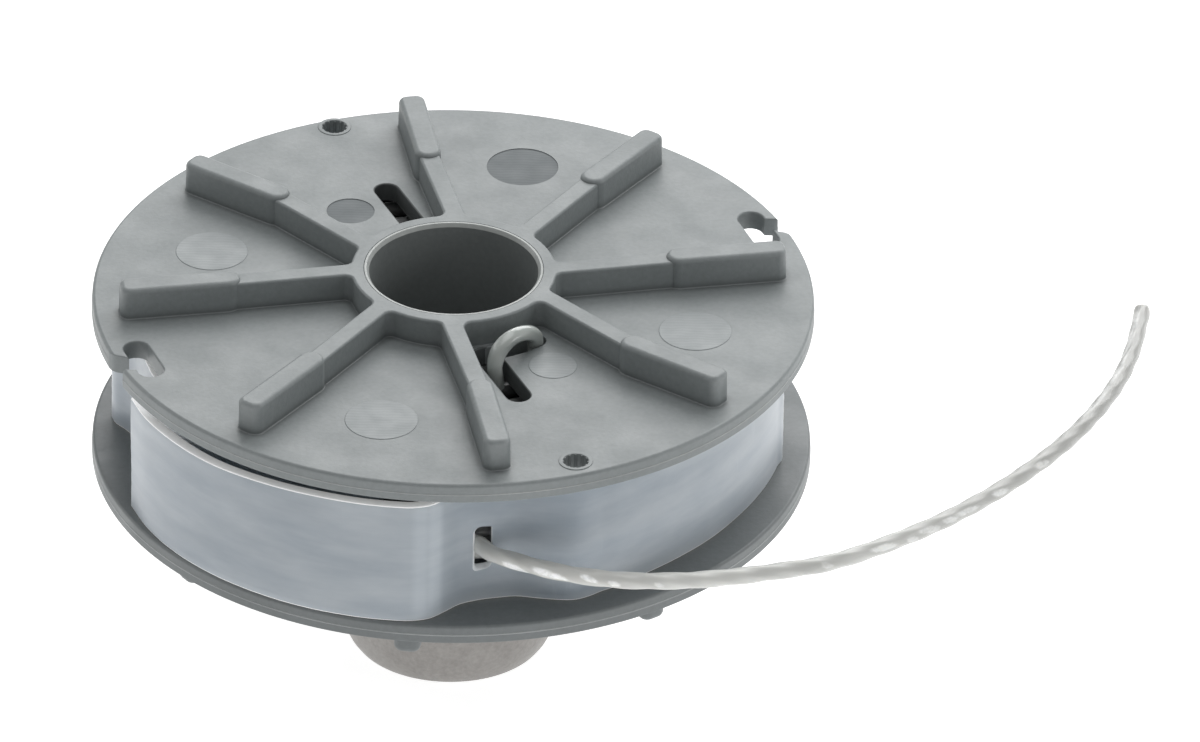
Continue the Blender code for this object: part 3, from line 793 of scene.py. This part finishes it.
for i in (0, 1):
    cuts.append(cutter(f"hole_{i}", toothed(*HOLES[i], 1.55), z + 0.08, T_FLANGE + 0.1, 0.10, [GREY]))
    cuts.append(cutter(f"slot_{i}", lambda o: half_turn(obround(slot_point(14.4), slot_point(SLOT_END[i]), 3.0 + 2 * o), i), z, T_FLANGE, 0.2, [GREY_SLOT_SHADE]))
    cuts.append(cutter(f"arc_{i}", lambda o: half_turn(arc_outline(o), i), z, T_FLANGE, 0.10, [GREY]))
    cuts.append(cutter(f"pocket_{i}", lambda o: half_turn(obround((38.1, 14.1), (36.2, 18.95), 3.2 + 2 * o), i), z, T_FLANGE, 0.24, [GREY]))
    cuts.append(cutter(f"mouth_{i}", lambda o: half_turn(grown(MOUTH, o), i), z, T_FLANGE, 0.16, [GREY]))
boolean(upper, cuts, "DIFFERENCE")
baked(upper, 30)
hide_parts("upper_flange")
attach(upper, "spool")

# lower flange
zl, zb = Z_LOW_TOP, Z_LOW
rim_low = fillet([
    (0.0, zb, 0), (R_FLANGE + 0.02, zb, 0.12), (R_FLANGE + 0.03, zb + 1.00, 0.02), (R_FLANGE + 0.035, zb + 1.10, 0.02),
    (R_FLANGE - 0.02, zb + 1.16, 0.02), (R_FLANGE - 0.04, zl, 0.40), (0.0, zl, 0)], 5, closed=False)
lower = revolve("lower_flange_visual", rim_low, 224, [GREY_LOW_SHADED], axis_open=True)
glint_ridge(lower, zb + 1.03, zb + 1.17)
low_discs = []
LOWER_PINS = []
tl = radians(LOW_TURN)
for cx, cy, r in ((7.98, 30.25, 4.42), (-29.7, 8.7, 4.42), (-8.1, -29.48, 4.42), (29.5, -7.78, 4.42)):
    cx, cy = cx * cos(tl) + cy * sin(tl), cx * sin(tl) - cy * cos(tl)
    LOWER_PINS.append((cx, cy, r))
boolean(lower, relief("low", -1, zb, False, 14.35, [GREY_LOW_SHADED]), "UNION")
for i, (cx, cy, r) in enumerate(LOWER_PINS):
    low_discs.append(disc(f"lpin_{i}", cx, cy, r, ((zb - 0.5, 0.0), (zb + 0.10, 0.0), (zb + 0.12, -0.03)), [DISC_SUNK], 64))
low_discs.append(loft("low_bore_cut", [[(12.5 * cos(2 * pi * j / 96), 12.5 * sin(2 * pi * j / 96), zz) for j in range(96)] for zz in (zb - 6.0, zl + 2.0)], [GREY_LOW_SHADED]))
boolean(lower, low_discs, "DIFFERENCE")
baked(lower, 30)
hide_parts("lower_flange")
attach(lower, "spool")

# hub sleeve: spigot with a chamfered mouth, drum, boss and its floor
hub_prof = fillet([
    (0, 7.9, 0), (10.3, 7.9, 0.8), (10.3, 52.66, 0.08), (10.62, 53.09, 0.08), (10.9, 53.09, 0.03), (10.94, 52.9, 0), (10.93, 46.8, 0), (13.0, 46.8, 0.2),
    (13.0, 29.8, 0.2), (12.2, 29.8, 0), (12.2, 7.7, 0.4), (10.6, 5.5, 0.4), (0, 5.5, 0)], 4, closed=False)
hub = revolve("hub_sleeve_visual", hub_prof, 160, [GREY_IN, GREY_LIP_HIGHLIGHT], axis_open=True)
for p in hub.data.polygons:                     # painted highlight: the chamfered mouth gets a lighter material
    if p.center.z / MM > 52.6 and 10.28 < hypot(p.center.x, p.center.y) / MM < 10.93:
        p.material_index = 1
baked(hub, 30)
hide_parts("hub_sleeve")
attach(hub, "spool")


# ------------------------------------------------------------------ metal knob
def knob_radius(zz):
    s = (27.15 - zz) / 27.15
    return 9.6 + 5.2 * max(0.0, 1 - s ** 3.0) ** (1 / 3.0)


hs = [22.9 - 22.9 * (1 - cos(pi / 2 * i / 40)) ** 0.9 for i in range(41)]
hs = [h for h in hs if h > 0.02] + [0.0]
outer = [(knob_radius(h), h) for h in hs]
outer[0] = (outer[0][0] - 0.05, 22.9)
outer.insert(1, (knob_radius(22.7), 22.72))
foot = [(8.0, 0.0), (4.0, 0.0), (0.0, 0.0)]
inner = [(0.0, 1.2), (6.0, 1.2), (9.1, 1.2)] + [(knob_radius(max(h - 0.35, 0)) - 1.2, h) for h in (1.9, 2.6, 3.6, 4.8, 6.5, 9.0, 12.0, 16.0, 20.0, 22.7)] + [(knob_radius(22.9) - 1.05, 22.9)]
knob = revolve("ground_knob_visual", outer + foot + inner, 144, [METAL], axis_open=True)
baked(knob, 35)
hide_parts("ground_knob")
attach(knob, "spool")

# ------------------------------------------------------------------ wound line: every turn of it
def winding():
    """Turns laid side by side up and down between the flanges, layer on layer, from the drum outwards."""
    pts, rng = [], np.random.default_rng(7)
    z0, z1 = 30.95, 45.15
    layers, turns = 11, 7
    r0, dr = 14.35, 1.955
    for j in range(layers):
        r = r0 + dr * j
        per = 26 if j < layers - 2 else 54
        n = turns * per
        up = j % 2 == 0
        drift = rng.normal(0, 1, turns + 3)
        for i in range(n):
            f = i / n
            k = f * turns
            w = k - int(k)
            step = (int(k) + min(1.0, max(0.0, (w - 0.80) / 0.20))) / turns
            zz = (z0 + (z1 - z0) * step) if up else (z1 - (z1 - z0) * step)
            a = drift[int(k)] * (1 - w) + drift[int(k) + 1] * w
            if j >= layers - 2:
                zz += 0.20 * a
            rr = r + (0.10 * a if j >= layers - 2 else 0.0) + dr * max(0.0, (f - 1 + 0.5 / turns) / (0.5 / turns))
            t = 2 * pi * k
            zz = min(max(zz, z0), z1)
            pts.append((min(rr, 33.95) * cos(t), min(rr, 33.95) * sin(t), zz))
    return np.array(pts)


wp = winding()
WOUND_M = length_of(wp) * MM
cu = bpy.data.curves.new("line_winding_visual", "CURVE")
cu.dimensions = "3D"
cu.bevel_depth = LINE_D / 2 * MM * 0.985
cu.bevel_resolution = 3
cu.use_fill_caps = True
sp = cu.splines.new("POLY")
sp.points.add(len(wp) - 1)
for p, co in zip(sp.points, wp):
    p.co = (co[0] * MM, co[1] * MM, co[2] * MM, 1)
wound = bpy.data.objects.new("line_winding_visual", cu)
SCN.collection.objects.link(wound)
cu.materials.append(LINE_WOUND_SHADED)
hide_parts("line_winding")
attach(wound, "spool")

# lead from the outer turns to the exit slot, between winding and strap
lead = [(*polar(34.0, -1), 45.1), (*polar(34.5, 12), 44.9), (*polar(35.4, 28), 44.3)]
for a_ in range(45, 271, 15):                 # once round over the winding, sloping down past the slot
    lead.append((*polar(35.95 if a_ < 250 else 35.75, a_), 43.6 - 8.6 * (a_ - 45) / 210.0 if a_ < 255 else 35.0))
lead += [(*polar(35.6, 277), 34.95), (*polar(35.6, 284), 34.9), (*polar(35.85, 300), 34.9)]
for a_ in range(315, 556, 15):
    lead.append((*polar(35.95, a_), 34.9 + 2.3 * (a_ - 315) / 240.0))
lead += [(*polar(35.95, 570), 37.2), (*polar(36.0, 585), 37.1), (*polar(36.0, 598), 37.0), (*polar(36.0, 610), Z_LINE), (*polar(35.9, 622), Z_LINE),
         (-1.6, -35.75, Z_LINE), (0.0, -35.7, Z_LINE), (1.35, -35.75, Z_LINE)]
lead_ob = twisted("line_lead", catmull(lead, 420), LINE_D * 1.02, 40.0, [LINE], 0.4, 16, 0.08)
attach(lead_ob, "strap")

# anchor loop
LOOP = [(5.50, -17.05, -2.9), (5.42, -16.95, -1.3), (5.30, -16.80, 0.2), (5.75, -16.10, 1.65),
        (6.75, -15.15, 2.6), (7.95, -14.05, 2.85), (9.15, -12.75, 2.4), (9.95, -11.45, 1.25),
        (10.15, -10.85, -0.2), (10.15, -10.75, -1.5), (10.15, -10.75, -2.9)]
loop = twisted("line_anchor_loop_visual", catmull([(x, y, Z_TOP + h) for x, y, h in LOOP], 64), LINE_D * 1.04, 22.0, [LINE_LOOP], 0.2, 24, 0.10)
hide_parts("line_anchor_loop")
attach(loop, "spool")

# ------------------------------------------------------------------ retaining strap
STRAP_PLAN = [(-154.4, 0.972), (-148, 0.983), (-141, 0.989), (-134, 0.992), (-127, 0.993), (-119, 0.993), (-112, 0.993), (-106, 0.992),
              (-101.5, 0.990), (-97, 0.986), (-94.8, 0.980), (-92.4, 0.964), (-90.2, 0.930), (-87.5, 0.890), (-83.8, 0.869), (-80, 0.863),
              (-77, 0.865), (-73.3, 0.889), (-70, 0.912), (-67.5, 0.925), (-64.9, 0.923), (-62, 0.914), (-58.8, 0.911), (-51, 0.899),
              (-46.7, 0.897), (-42, 0.896), (-37, 0.897), (-31.8, 0.898), (-25.4, 0.901), (-20, 0.906), (-15, 0.912), (-9.4, 0.918),
              (-4, 0.921), (20, 0.925), (50, 0.922), (90, 0.920), (130, 0.928), (155, 0.938), (170, 0.948), (176, 0.950),
              (179, 0.938), (181.5, 0.905), (184.5, 0.882), (192, 0.874), (205, 0.872), (225, 0.872), (245, 0.873), (258, 0.874)]
STRAP_FLOOR = 29.58      # the strip stands on the lower flange


def strap_mesh():
    plan = catmull([polar(r * R_FLANGE, a) for a, r in STRAP_PLAN], 420)
    d = np.gradient(plan, axis=0)
    d /= np.linalg.norm(d, axis=1)[:, None]
    inward = np.stack([-d[:, 1], d[:, 0]], 1)
    rnd, seg = 0.16, 2
    z_low = STRAP_FLOOR
    sect = []                      # (depth inwards, height) round a section, from the outer face's top edge
    for (cx, cz, b) in ((rnd, STRAP_Z1 - rnd, 90), (rnd, z_low + rnd, 180), (STRAP_T - rnd, z_low + rnd, 270), (STRAP_T - rnd, STRAP_Z1 - rnd, 0)):
        for i in range(seg + 1):
            t = radians(b + 90 * i / seg)
            sect.append((cx + rnd * cos(t), cz + rnd * sin(t)))
    # more rows on the two faces, so that slow waves can show
    full = []
    for i, (a, b) in enumerate(zip(sect, sect[1:] + sect[:1])):
        full.append(a)
        if abs(a[1] - b[1]) > 3:
            for k in range(1, 24):
                full.append((a[0] + (b[0] - a[0]) * k / 24, a[1] + (b[1] - a[1]) * k / 24))
    rings = []
    for i, p in enumerate(plan):
        ring = []
        ang = degrees(atan2(p[1], p[0]))
        flare = 0.22 * max(0.0, 1 - abs(ang + 122) / 34.0) if i < 140 else 0.0
        lift = min(1.0, max(0.0, (ang + 138) / 30.0)) if i < 140 else 1.0 if i < 200 else max(0.0, 1 - (i - 200) / 60.0)
        lift = 0.65 * lift * lift * (3 - 2 * lift)
        for dep, h in full:
            u = (h - z_low) / (STRAP_Z1 - z_low)
            wave = 0.10 * noise.noise(Vector((p[0] * 0.09, p[1] * 0.09, h * 0.12)))
            wave += 0.035 * sin(2 * pi * (h - 30.4) / 2.03) * (0.4 + 0.6 * noise.noise(Vector((p[0] * 0.05, p[1] * 0.05, 3.0))))
            wave -= flare * (1 - u) ** 2
            ring.append((p[0] + inward[i][0] * (dep + wave), p[1] + inward[i][1] * (dep + wave), h + lift * u))
        rings.append(ring)
    return loft("retaining_strap_visual", rings, [STRAP, STRAP_EDGE_GLOW])


strap = strap_mesh()
ca, sa = cos(radians(EXIT_ANGLE)), sin(radians(EXIT_ANGLE))


def exit_outline(r, grow):
    """Exit slot seen along the radius: two opposite corners are rounder than the others."""
    w, h = 2.1 + grow, 5.9 + grow
    pts = []
    for sx, sz, rad, b in ((1, 1, 0.35, 0), (-1, 1, 0.85, 90), (-1, -1, 0.35, 180), (1, -1, 0.85, 270)):
        rad = rad + grow / 2
        cx, cz = sx * (w / 2 - rad), sz * (h / 2 - rad)
        for i in range(7):
            t = radians(b + 90 * i / 6)
            pts.append((cx + rad * cos(t), cz + rad * sin(t)))
    return [(r * ca - x * sa, r * sa + x * ca, Z_LINE + zz) for x, zz in pts]


# the strap's outer face at the slot lies at 0.868 of the flange radius
ro = 0.8680 * R_FLANGE
rings = [exit_outline(r, g) for r, g in ((34.0, 0.0), (ro - 0.22, 0.0), (ro - 0.10, 0.05), (ro - 0.02, 0.16), (ro + 0.3, 0.5), (ro + 3.0, 0.6))]
boolean(strap, [loft("exit_cut", rings, [STRAP_RIM_GLOW])], "DIFFERENCE")
# painted glow: the strip's top and bottom cut edges get the near-white glowing edge material
for p in strap.data.polygons:
    if abs(p.normal.z) > 0.25 and (p.center.z > 0.0445 or p.center.z < 0.0300):
        p.material_index = 1
baked(strap, 40)
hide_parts("retaining_strap")
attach(strap, "strap")

# ------------------------------------------------------------------ stage and light
def plane(name, size, z0, mat):
    me = bpy.data.meshes.new(name)
    bm = bmesh.new()
    bmesh.ops.create_grid(bm, x_segments=1, y_segments=1, size=size)
    bm.to_mesh(me)
    bm.free()
    ob = new_object(name, me, [mat])
    ob.location.z = z0
    return ob


floor_mat, nt, b = nodes_of("pale_floor", (0.55, 0.55, 0.55), 0.8)
b.inputs["Emission Color"].default_value = (1.0, 1.0, 1.0, 1)
b.inputs["Emission Strength"].default_value = 0.84
floor = plane("floor", 6.0, -0.00002, floor_mat)

world = bpy.data.worlds.new("studio")
SCN.world = world
world.use_nodes = True
bg = world.node_tree.nodes["Background"]
bg.inputs["Color"].default_value = (1.0, 1.0, 1.0, 1)
bg.inputs["Strength"].default_value = 0.40


def area(name, loc, target, size, watts, color=(1, 1, 1)):
    li = bpy.data.lights.new(name, "AREA")
    li.shape = "RECTANGLE"
    li.size, li.size_y = size
    li.energy = watts
    li.color = color
    ob = bpy.data.objects.new(name, li)
    SCN.collection.objects.link(ob)
    ob.location = loc
    ob.rotation_mode = "QUATERNION"
    ob.rotation_quaternion = (Vector(target) - Vector(loc)).to_track_quat("-Z", "Y")
    return ob


area("back_box", (0.22, 0.62, 0.60), (0, 0, 0.045), (0.9, 0.7), 7.2)
area("top_box", (-0.02, 0.06, 0.85), (0, 0, 0.045), (0.6, 0.5), 1.5)
area("right_box", (0.80, -0.28, 0.26), (0, 0, 0.04), (0.35, 0.35), 1.1)
area("left_box", (-0.88, 0.42, 0.42), (0, 0, 0.04), (0.4, 0.5), 1.1)
